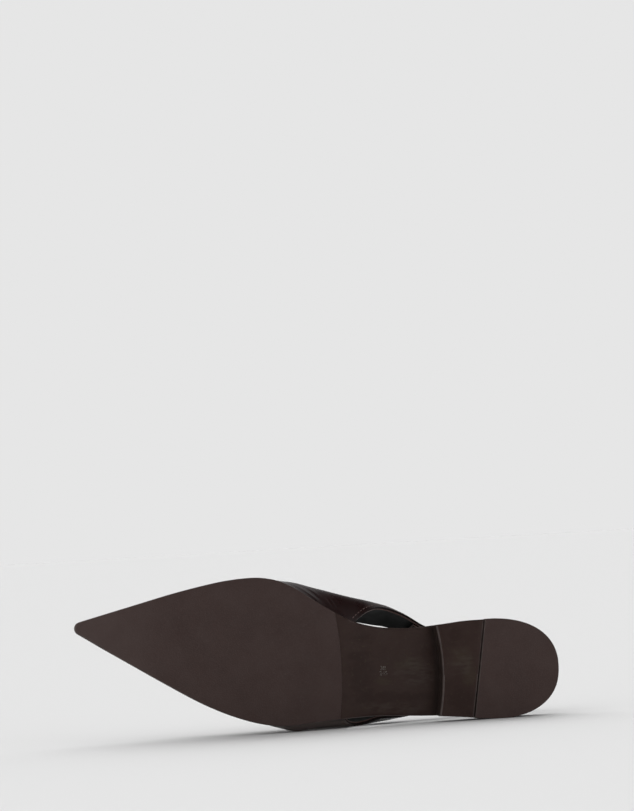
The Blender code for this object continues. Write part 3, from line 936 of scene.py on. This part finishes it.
def make_tread(finishes):
    """The thin matte half sole under the forepart."""

    def stations(rear, front):
        start = TREAD_LINE + TOUCH
        ahead = toe_run(start + TREAD_FEATHER, front, SOLE_STEP, SOLE_CROWDS[1])
        return [(start, TREAD_FEATHER)] + [(x, 0.0) for x in ahead]

    upper = rounded(HIDDEN_ROUND, lambda x: bottom(x) + TREAD, steps=1, top=True)
    bm = slab(stations, tread_line, rounded(TREAD_ROUND, bottom) + upper)
    add_piece("tread_pad_finished", bm, finishes, ["tread_pad"], rubbed_and_sheen=True)


def make_heel(finishes):
    """The heel block: stepped up for the top piece, and down to the floor in front of it."""
    rebate = TOP_PIECE + TOUCH

    def stations(rear, front):
        behind = [(x, rebate) for x in crowd(rear, STRIP, HEEL_CROWD)]
        groove = bevel(STRIP, GROOVE_BEVEL)
        strip = [(x, 0.0) for x in spread(STRIP + GROOVE_BEVEL, BREAST - BREAST_BEVEL, SOLE_STEP)]
        return behind + groove + strip + bevel(BREAST, -BREAST_BEVEL)[::-1]

    def low_taper(x):
        return flared(rebate) * (1 - ramp(x, STRIP, BREAST))

    lower = rounded(SOLE_ROUND, lambda x: 0.0, low_taper)
    upper = rounded(HIDDEN_ROUND, lambda x: bottom(x) - TOUCH, lambda x: HEEL_FLARE, 1, top=True)
    bm = slab(stations, heel_line, lower + upper)
    add_piece("heel_block_finished", bm, finishes, ["heel_block"], rubbed_and_sheen=True)


def make_top_piece(finishes):
    """The rubber piece under the rear of the heel."""
    front_edge = STRIP - GAP

    def stations(rear, front):
        behind = crowd(rear, front_edge - TOP_PIECE_BEVEL, TOP_PIECE_CROWD)
        return [(x, 0.0) for x in behind] + bevel(front_edge, -TOP_PIECE_BEVEL)[::-1]

    lower = rounded(TOP_PIECE_BEVEL, lambda x: 0.0)
    upper = rounded(HIDDEN_ROUND, lambda x: TOP_PIECE, lambda x: flared(TOP_PIECE), 1, top=True)
    bm = slab(stations, heel_line, lower + upper)
    add_piece("top_piece_finished", bm, finishes, ["top_piece"], rubbed_and_sheen=True)


def make_insole(finish):
    """The insole: as wide as the sole at the heel and waist, and inside the upper ahead."""

    def taper(x):
        return sole_inset(x) + INSOLE_INSET * ramp(x, *INSOLE_NARROWS)

    def stations(rear, front):
        behind = heel_run(rear, INSOLE_NARROWS[1], INSOLE_STEP, INSOLE_CROWDS[0])
        ahead = toe_run(INSOLE_NARROWS[1], front + TOE_ROOM, INSOLE_STEP, INSOLE_CROWDS[1])
        return [(x, 0.0) for x in behind + ahead[1:]]

    lower = rounded(INSOLE_ROUND[0], lambda x: seat(x) + INSOLE_LIFT, taper)
    upper = rounded(INSOLE_ROUND[1], lambda x: seat(x) + GAP + INSOLE, taper, 5, top=True)
    bm = slab(stations, lambda x, y: x, lower + upper)
    add_piece("insole_covered", bm, [finish], ["insole"])


def digits_mesh(text):
    """Plain digits as a thin flat mesh, centred on its origin."""
    curve = bpy.data.curves.new("digits", "FONT")
    curve.body, curve.size, curve.extrude = text, STAMP_SIZE, INK
    curve.resolution_u = 3
    curve.align_x = curve.align_y = "CENTER"
    source = add_object("digits", curve)
    bpy.context.view_layer.update()
    seen = source.evaluated_get(bpy.context.evaluated_depsgraph_get())
    mesh = bpy.data.meshes.new_from_object(seen)
    bpy.data.objects.remove(source)
    return mesh


def make_size_stamp(finish):
    """The size and the length in millimetres, as small digits on the waist."""
    bm = bmesh.new()
    for text, middle_x, middle_y in STAMP:
        first = len(bm.verts)
        bm.from_mesh(digits_mesh(text))
        bm.verts.ensure_lookup_table()
        for vert in bm.verts[first:]:
            x, y = middle_x - vert.co.x, middle_y + vert.co.y
            vert.co = Vector((x, y, bottom(x) - INK - vert.co.z))
    bmesh.ops.remove_doubles(bm, verts=bm.verts, dist=0.0005)
    add_piece("size_digits", bm, [finish])


# ---- the upper


def upper_stations(step, toe_count):
    """Stations of the upper, close together at the throat and at the toe."""
    wings = spread(WING_END, THROAT - THROAT_CROWD, step)
    count = ceil(1.5 * THROAT_CROWD / step)
    throat = [THROAT - THROAT_CROWD * (1 - k / count) ** 2 for k in range(1, count + 1)]
    return wings + throat + toe_run(THROAT, FOOT_INSET, step, toe_count)[1:]


def toe_nose(inner, outer, count=10):
    """Columns round the toe, from the inner side's last station to the outer side's."""
    ahead = LENGTH - FOOT_INSET - TOE_CENTRE_X
    columns = []
    for k in range(count + 1):
        column = []
        for a, b in zip(inner, outer):
            half = (a.y - b.y) / 2
            turn = atan2(half, ahead) * (1 - 2 * k / count)
            place = a.lerp(b, k / count)
            place.x += hypot(half, ahead) * cos(turn) - ahead
            place.y = (a.y + b.y) / 2 + hypot(half, ahead) * sin(turn)
            column.append(place)
        columns.append(column)
    return columns


def upper_surface(step, rows, toe_count, uneven=True):
    """The upper's outside as an open surface, joined along the ridge and round the toe."""
    bm = bmesh.new()
    ends = []
    for side in (INNER, OUTER):
        grid = []
        for x in upper_stations(step, toe_count):
            path = girth(x, side)
            start, end = path.kept()
            grid.append([path.at(start + (end - start) * k / rows) for k in range(rows + 1)])
        skin(bm, grid, flip=side == OUTER)
        ends.append(grid[-1])
    skin(bm, toe_nose(*ends))
    weld(bm)
    bm.normal_update()
    if uneven:
        sides = [INNER if vert.co.y > spline(LAST, vert.co.x, 1) else OUTER for vert in bm.verts]
        move_all(bm, [vert.normal * relief(side, vert.co) for vert, side in zip(bm.verts, sides)])
    return bm


def make_upper(leather, edge_paint):
    bm = upper_surface(*LEATHER_MESH)
    thicken(bm, LEATHER, LEATHER_ROUND)
    add_piece("upper_leather", bm, [leather, edge_paint], ["upper"], sharp=50)


def make_lining(lining, cut_edge):
    """The upper's lining, just inside the leather."""
    bm = upper_surface(*LINING_MESH, uneven=False)
    move_all(bm, [vert.normal * -(LEATHER + SEAM) for vert in bm.verts])
    thicken(bm, LINING, LINING_ROUND, at_foot)
    add_piece("upper_lining", bm, [lining, cut_edge], sharp=50)


# ---- the strap


def wing_middle(x, side, depth):
    """A point half way up a wing and this deep under its outside, with the wing's lean."""
    path = girth(x, side)
    middle = sum(path.kept()) / 2
    up = (path.at(middle + 0.6) - path.at(middle - 0.6)).normalized()
    t = np.interp(middle, path.lengths, path.ts)
    along = (section(x + 1, side, t) - section(x - 1, side, t)).normalized()
    inwards = along.cross(up).normalized() * side
    return path.at(middle) + inwards * depth, Vector((0, 0, 1)).angle(up)


def strap_route():
    """The strap's middle points, each with its lean, from the inner wing to the outer one."""
    depth = WALL + GAP + WING_SAG + STRAP_THICK / 2
    places = (WING_END + STRAP_OVERLAP, WING_END + STRAP_OVERLAP / 2, WING_END)
    front = [wing_middle(x, INNER, depth) for x in places]
    back = [(Vector(row[:3]), radians(row[3])) for row in STRAP]
    rear = [wing_middle(x, OUTER, depth) for x in reversed(places)]
    return front + back + rear


class Strap:
    """The strap's middle surface, read by the distance along it and the height across it."""

    def __init__(self):
        knots = strap_route()
        lengths = distances([point for point, _ in knots])
        self.length = lengths[-1]
        self.table = [(s, *point, lean) for s, (point, lean) in zip(lengths, knots)]

    def place(self, s):
        return Vector([spline(self.table, s, column) for column in (1, 2, 3)])

    def frame(self, s):
        """The middle point, and the directions up across the strap and out of it."""
        along = (self.place(s + 0.5) - self.place(s - 0.5)).normalized()
        inwards = Vector((-along.y, along.x, 0.0)).normalized()
        lean = spline(self.table, s, 4)
        up = Vector((0, 0, cos(lean))) + inwards * sin(lean)
        up = (up - along * up.dot(along)).normalized()
        return self.place(s), up, along.cross(up).normalized()

    def at(self, s, share, out):
        """A point at a share from the lower (-0.5) to the upper (0.5) edge, this far outwards."""
        middle, up, outwards = self.frame(s)
        crown = STRAP_CROWN * (1 - (2 * share) ** 2)
        return middle + up * STRAP_WIDTH * share + outwards * (out + crown)


def make_strap(leather, lining, cut_edge):
    """The strap's leather and lining; gives the strap's surface, for the stitching."""
    strap = Strap()
    outside = STRAP_THICK / 2
    inside = outside - STRAP_LEATHER - STRAP_SEAM
    for name, out, depth, material, slot, replaced in (
        ("strap_leather", outside, STRAP_LEATHER, leather, "upper_leather", ["sling_strap"]),
        ("strap_lining", inside, STRAP_LINING, lining, "insole_leather", []),
    ):
        bm = bmesh.new()
        shares = [k / STRAP_ROWS - 0.5 for k in range(STRAP_ROWS + 1)]
        stations = spread(0.0, strap.length, STRAP_STEP)
        skin(bm, [[strap.at(s, share, out) for share in shares] for s in stations])
        weld(bm)
        thicken(bm, depth, STRAP_ROUND, rim_material=0 if material is leather else 1)
        add_piece(name, bm, [material, cut_edge], replaced, sharp=50)
    return strap


# ---- stitching


def stitch(bm, start, end, out):
    """One stitch: a short thread that dips into the leather at both ends."""
    along = (end - start).normalized()
    across_it = along.cross(out).normalized()
    sides = 7
    rings = []
    for share, swell in ((0.0, 0.25), (0.1, 0.75), (0.3, 1.0), (0.7, 1.0), (0.9, 0.75), (1.0, 0.25)):
        lift = THREAD * (0.75 * sin(pi * share) ** 0.5 - 0.25)
        middle = start + (end - start) * share + out * lift
        spokes = [2 * pi * k / sides for k in range(sides)]
        ring = [middle + (across_it * cos(a) + out * sin(a)) * THREAD * swell for a in spokes]
        rings.append([bm.verts.new(point) for point in ring])
    for a, b in zip(rings, rings[1:]):
        for k in range(sides):
            bm.faces.new((a[k], a[(k + 1) % sides], b[(k + 1) % sides], b[k]))
    bm.faces.new(rings[0])
    bm.faces.new(rings[-1])


def sew(bm, path, on_surface):
    """Stitches along chart points, for which on_surface gives a place and the way out of it."""
    lengths = distances([on_surface(*chart)[0] for chart in path])
    count = int(lengths[-1] / (STITCH_LONG + STITCH_GAP))
    pitch = lengths[-1] / max(count, 1)
    columns = list(zip(*path))

    def read(distance):
        return on_surface(*[np.interp(distance, lengths, column) for column in columns])

    for k in range(count):
        start, out = read(k * pitch)
        end, _ = read(k * pitch + pitch * STITCH_LONG / (STITCH_LONG + STITCH_GAP))
        stitch(bm, start, end, out)


def wall_place(side):
    """Reads the upper's outside by x and the distance up the wall."""

    def read(x, distance):
        point = girth(x, side).at(distance)
        up = girth(x, side).at(distance + 0.5) - girth(x, side).at(distance - 0.5)
        ahead = girth(x + 0.5, side).at(distance) - girth(x - 0.5, side).at(distance)
        out = ahead.cross(up).normalized() * side
        return point + out * relief(side, point), out

    return read


def edge_path(side, top):
    """Chart points of the stitching along the topline or a side cut: x and distance up the wall."""
    end = THROAT if top else CUTS[side][-1][0] - STITCH_PATH_ENDS[1]
    xs = spread(WING_END + STITCH_PATH_ENDS[0], end, 1.0)
    chart = [Vector((x, girth(x, side).kept()[1 if top else 0])) for x in xs]
    moved = []
    for k, place in enumerate(chart):
        run = (chart[min(k + 1, len(chart) - 1)] - chart[max(k - 1, 0)]).normalized()
        inward = Vector((run.y, -run.x)) * (1 if top else -1)
        moved.append(place + inward * STITCH_IN)
    return moved


def make_stitching(thread, strap):
    """Stitches along the topline, the side cuts and both edges of the strap."""
    bm = bmesh.new()
    wing, throat = WING_END + STITCH_IN, THROAT - STITCH_OFF_THROAT
    for side in (INNER, OUTER):
        cut = [(x, up) for x, up in edge_path(side, False) if x > wing and up > STITCH_OFF_SOLE]
        topline = [(x, up) for x, up in edge_path(side, True) if wing < x < throat]
        sew(bm, cut, wall_place(side))
        sew(bm, topline, wall_place(side))
    for half in (-1, 1):
        level = half * (0.5 - STRAP_STITCH_IN / STRAP_WIDTH)

        def read(s, across_strap):
            point = strap.at(s, across_strap, STRAP_THICK / 2)
            return point, strap.frame(s)[2]

        sew(bm, [(s, level) for s in spread(STRAP_OVERLAP, strap.length - STRAP_OVERLAP, 1.0)], read)
    add_piece("stitching", bm, [thread], sharp=60)


# ---- the studio


PALE = 0.791
FLOOR_TONE = 0.704
LIGHTS = (  # name, degrees from the front towards the toe, elevation, width, power, seen in gloss
    ("key_left", 55.0, 14.0, 60.0, 1.00, True),
    ("key_right", -42.0, 14.0, 60.0, 0.75, True),
    ("back", 178.0, 40.0, 90.0, 2.20, False),
    ("top", 180.0, 75.0, 110.0, 1.30, False),
)
SKY = 0.04
BACKDROP = 0.42
SIDES = (0.25, 0.08)

# Where the backdrop and the two sides stand, as parts of a unit direction: behind, how high, beside
BACKDROP_BEHIND = (0.05, 0.4)
BACKDROP_TOP = (0.62, 0.86)
SIDE_BAND = (0.7, 0.95)
FLOOR_HALF = 60.0


def make_floor():
    """A plain pale floor, in metres, too wide for its edge to show."""
    ends = (-FLOOR_HALF, FLOOR_HALF)
    mesh = bpy.data.meshes.new("floor")
    mesh.from_pydata([(x, y, 0.0) for x in ends for y in ends], [], [(0, 2, 3, 1)])
    mesh.materials.append(Finish("floor_pale", (FLOOR_TONE, FLOOR_TONE, FLOOR_TONE), 1.0, 0.0).done())
    floor = add_object("floor", mesh)


def make_surround():
    """A dark studio with a pale backdrop and sides; the camera sees an even pale tone."""
    world = bpy.data.worlds.new("studio")
    bpy.context.scene.world = world
    world.use_nodes = True
    world.node_tree.nodes.clear()
    nodes = Nodes(world.node_tree)
    facing = nodes.node("TexCoord").outputs["Generated"]
    x, y, z = nodes.node("SeparateXYZ", Vector=facing).outputs
    behind = nodes.between(y, *BACKDROP_BEHIND)
    backdrop = nodes.maths("MULTIPLY", behind, nodes.between(z, *BACKDROP_TOP, BACKDROP, 0.0))
    near, far = SIDE_BAND
    left, right = nodes.between(x, -far, -near, SIDES[0], 0.0), nodes.between(x, near, far, 0.0, SIDES[1])
    level = nodes.maths("ADD", nodes.maths("ADD", backdrop, nodes.maths("ADD", left, right)), SKY)
    lit = nodes.node("Background", Strength=level)
    seen = nodes.node("Background", Color=(PALE, PALE, PALE, 1.0))
    mix = nodes.node("MixShader", Fac=nodes.node("LightPath").outputs["Is Camera Ray"])
    nodes.feed(mix.inputs[1], lit.outputs[0])
    nodes.feed(mix.inputs[2], seen.outputs[0])
    nodes.node("OutputWorld", Surface=mix.outputs[0])


def make_lights():
    for name, azimuth, elevation, width, power, reflected in LIGHTS:
        data = bpy.data.lights.new(name, "SUN")
        data.energy, data.angle = power, radians(width)
        light = add_object(name, data)
        light.rotation_euler = (radians(90.0 - elevation), 0.0, radians(-azimuth))
        light.visible_glossy = reflected


def make_camera():
    """The photo's camera, placed in the shoe's own frame."""
    data = bpy.data.cameras.new("camera")
    data.lens, data.sensor_width, data.clip_end = LENS, SENSOR, CLIP_END
    camera = add_object("camera", data)
    turn = TO_ROW.to_3x3().normalized() @ Euler(CAMERA_TURNS, "ZXY").to_matrix()
    camera.matrix_world = turn.to_4x4()
    camera.matrix_world.translation = TO_ROW @ Vector(CAMERA_AT)
    bpy.context.scene.camera = camera


# ---- everything together


def build():
    sole, tread, leather = sole_finish(), tread_finish(), upper_finish()
    # the pale edge finish is rubbed wear plus a painted reflection of the floor and a painted highlight
    rubbed_edge_and_sheen, lining, cut_edge, edge_paint, insole, thread, stamp = map(plain_finish, PLAIN)
    make_outsole([sole, rubbed_edge_and_sheen])
    make_tread([tread, rubbed_edge_and_sheen])
    make_heel([sole, rubbed_edge_and_sheen])
    make_top_piece([tread, rubbed_edge_and_sheen])
    make_insole(insole)
    make_size_stamp(stamp)
    make_upper(leather, edge_paint)
    make_lining(lining, cut_edge)
    make_stitching(thread, make_strap(leather, lining, cut_edge))
    make_floor()
    make_surround()
    make_lights()
    make_camera()
    bpy.context.scene.view_settings.view_transform = "Standard"


build()
